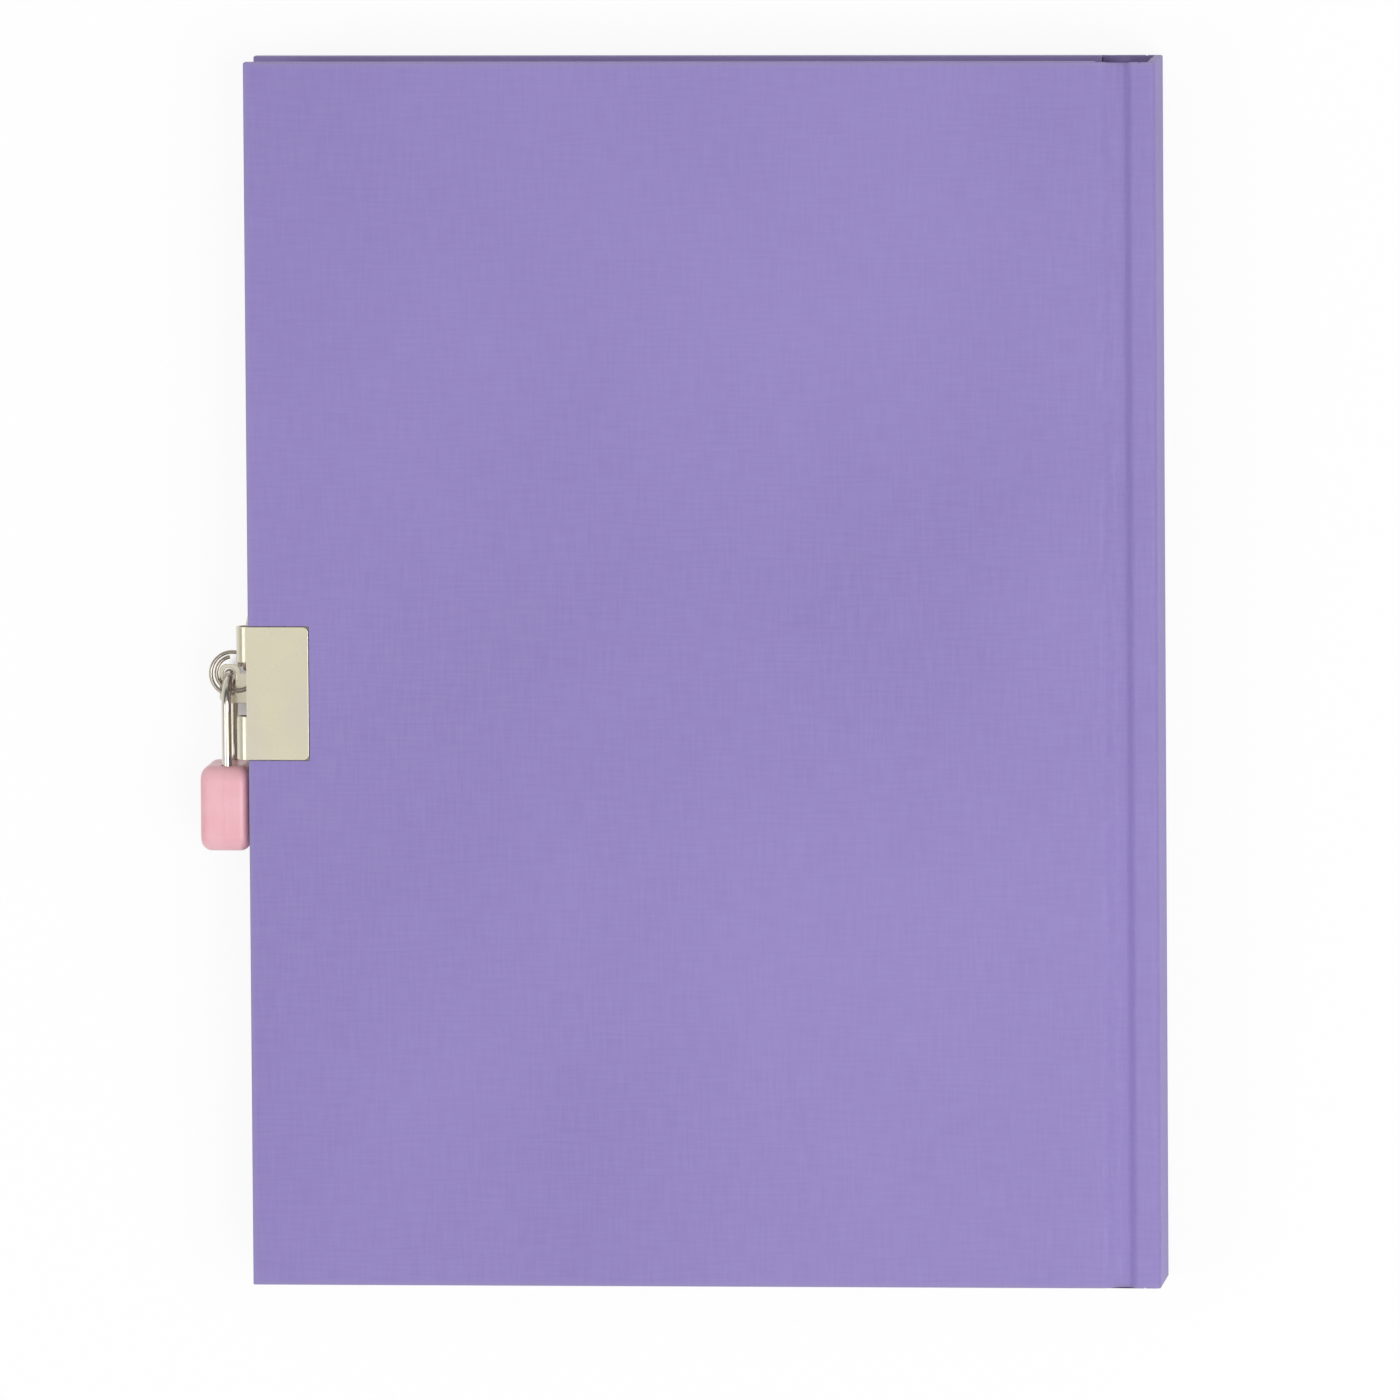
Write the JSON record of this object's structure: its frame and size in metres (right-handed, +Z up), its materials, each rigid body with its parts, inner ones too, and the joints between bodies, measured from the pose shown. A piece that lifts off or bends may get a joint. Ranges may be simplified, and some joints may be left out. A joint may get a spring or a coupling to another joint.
{
  "type": "diary with lock",
  "caption": "Case-bound writing diary shut by two metal clasp plates whose ears are held together by a small keyed padlock.",
  "frame": {"origin": "centre of the front cover's outer face, on which the closed book lies", "axes": "+X from the fore-edge to the spine, +Y from the tail to the head, +Z up out of the back cover"},
  "size_m": [0.1742, 0.222, 0.0202],
  "materials": {
    "cover_paper": "purple covering paper with a fine linen emboss",
    "greyboard": "grey binder's board",
    "endpaper": "smooth uncoated endpaper",
    "leaves": "uncoated writing paper",
    "nickel_plate": "nickel-plated sheet steel",
    "shackle_steel": "nickel-plated wire",
    "ring_steel": "nickel-plated spring wire",
    "key_metal": "stamped nickel-plated sheet",
    "pink_plastic": "moulded pink plastic, satin gloss",
    "core_metal": "cast and milled zinc alloy",
    "pin_steel": "ground steel pin",
    "spring_steel": "spring wire",
    "latch_steel": "stamped steel",
    "plug_brass": "turned brass",
    "wafer_brass": "stamped brass"
  },
  "bodies": {
    "front_cover": {"front_cover_paper": "cover_paper", "front_board": "greyboard", "front_pastedown": "endpaper", "front_flyleaf": "endpaper", "front_clip": "nickel_plate", "section_1": "leaves"},
    "spine": {"spine_cover_paper": "cover_paper", "spine_card": "greyboard"},
    "back_cover": {"back_cover_paper": "cover_paper", "back_board": "greyboard", "back_pastedown": "endpaper", "back_clip": "nickel_plate"},
    "pages_2": {"section_2": "leaves"},
    "pages_3": {"section_3": "leaves"},
    "pages_4": {"section_4": "leaves"},
    "pages_5": {"section_5": "leaves"},
    "pages_6": {"section_6": "leaves"},
    "pages_7": {"section_7": "leaves"},
    "pages_8": {"section_8": "leaves", "back_flyleaf": "endpaper"},
    "key_ring": {"key_ring": "ring_steel"},
    "keys": {"key_1": "key_metal", "key_2": "key_metal"},
    "shackle": {"shackle": "shackle_steel"},
    "lock_body": {"lock_shell_front": "pink_plastic", "lock_shell_rear": "pink_plastic", "lock_core": "core_metal", "lock_stop_pin": "pin_steel", "latch_spring": "spring_steel"},
    "lock_plug": {"lock_plug": "plug_brass", "lock_wafers": "wafer_brass"},
    "lock_latch": {"lock_latch": "latch_steel"}
  },
  "joints": [
    {"name": "spine_hinge", "type": "hinge", "parent": "front_cover", "child": "spine", "pos_m": [0.0825, 0, 0], "axis": [0, 1, 0], "range_deg": [0, 90]},
    {"name": "back_cover_hinge", "type": "hinge", "parent": "spine", "child": "back_cover", "pos_m": [0.0825, 0, 0.02], "axis": [0, 1, 0], "range_deg": [0, 90]},
    {"name": "page_turn_2", "type": "hinge", "parent": "front_cover", "child": "pages_2", "pos_m": [0.0807, 0, 0.00505], "axis": [0, 1, 0], "range_deg": [0, 25.71]},
    {"name": "page_turn_3", "type": "hinge", "parent": "pages_2", "child": "pages_3", "pos_m": [0.0807, 0, 0.0067], "axis": [0, 1, 0], "range_deg": [0, 25.71]},
    {"name": "page_turn_4", "type": "hinge", "parent": "pages_3", "child": "pages_4", "pos_m": [0.0807, 0, 0.00835], "axis": [0, 1, 0], "range_deg": [0, 25.71]},
    {"name": "page_turn_5", "type": "hinge", "parent": "pages_4", "child": "pages_5", "pos_m": [0.0807, 0, 0.01], "axis": [0, 1, 0], "range_deg": [0, 25.71]},
    {"name": "page_turn_6", "type": "hinge", "parent": "pages_5", "child": "pages_6", "pos_m": [0.0807, 0, 0.01165], "axis": [0, 1, 0], "range_deg": [0, 25.71]},
    {"name": "page_turn_7", "type": "hinge", "parent": "pages_6", "child": "pages_7", "pos_m": [0.0807, 0, 0.0133], "axis": [0, 1, 0], "range_deg": [0, 25.71]},
    {"name": "page_turn_8", "type": "hinge", "parent": "pages_7", "child": "pages_8", "pos_m": [0.0807, 0, 0.01495], "axis": [0, 1, 0], "range_deg": [0, 25.71]},
    {"name": "padlock_off", "type": "slide", "parent": "front_cover", "child": "key_ring", "axis": [-1, 0, 0], "range_m": [0, 0.12]},
    {"name": "key_swing", "type": "hinge", "parent": "key_ring", "child": "keys", "pos_m": [-0.08388, 0.00264, 0.0119], "axis": [0, 0, 1], "range_deg": [0, 9]},
    {"name": "padlock_swing", "type": "hinge", "parent": "key_ring", "child": "shackle", "pos_m": [-0.087, -0.0006, 0.01], "axis": [0, 0, -1], "range_deg": [0, 150]},
    {"name": "shackle_release", "type": "slide", "parent": "shackle", "child": "lock_body", "axis": [0, -1, 0], "range_m": [0, 0.0059]},
    {"name": "plug_turn", "type": "hinge", "parent": "lock_body", "child": "lock_plug", "pos_m": [-0.08725, -0.0256, 0.01], "axis": [0, -1, 0], "range_deg": [0, 90]},
    {"name": "latch_slide", "type": "slide", "parent": "lock_body", "child": "lock_latch", "axis": [0, 0, 1], "range_m": [0, 0.0024], "deforming": ["latch_spring"]}
  ],
  "couplings": [
    {"joint": "back_cover_hinge", "follows": "spine_hinge", "ratio": 1},
    {"joint": "page_turn_2", "follows": "spine_hinge", "ratio": 0.28571},
    {"joint": "page_turn_3", "follows": "spine_hinge", "ratio": 0.28571},
    {"joint": "page_turn_4", "follows": "spine_hinge", "ratio": 0.28571},
    {"joint": "page_turn_5", "follows": "spine_hinge", "ratio": 0.28571},
    {"joint": "page_turn_6", "follows": "spine_hinge", "ratio": 0.28571},
    {"joint": "page_turn_7", "follows": "spine_hinge", "ratio": 0.28571},
    {"joint": "page_turn_8", "follows": "spine_hinge", "ratio": 0.28571},
    {"joint": "padlock_off", "follows": "spine_hinge", "m_per_rad": 0.07639},
    {"joint": "plug_turn", "follows": "shackle_release", "rad_per_m": 266.2},
    {"joint": "latch_slide", "follows": "shackle_release", "ratio": 0.4067}
  ]
}
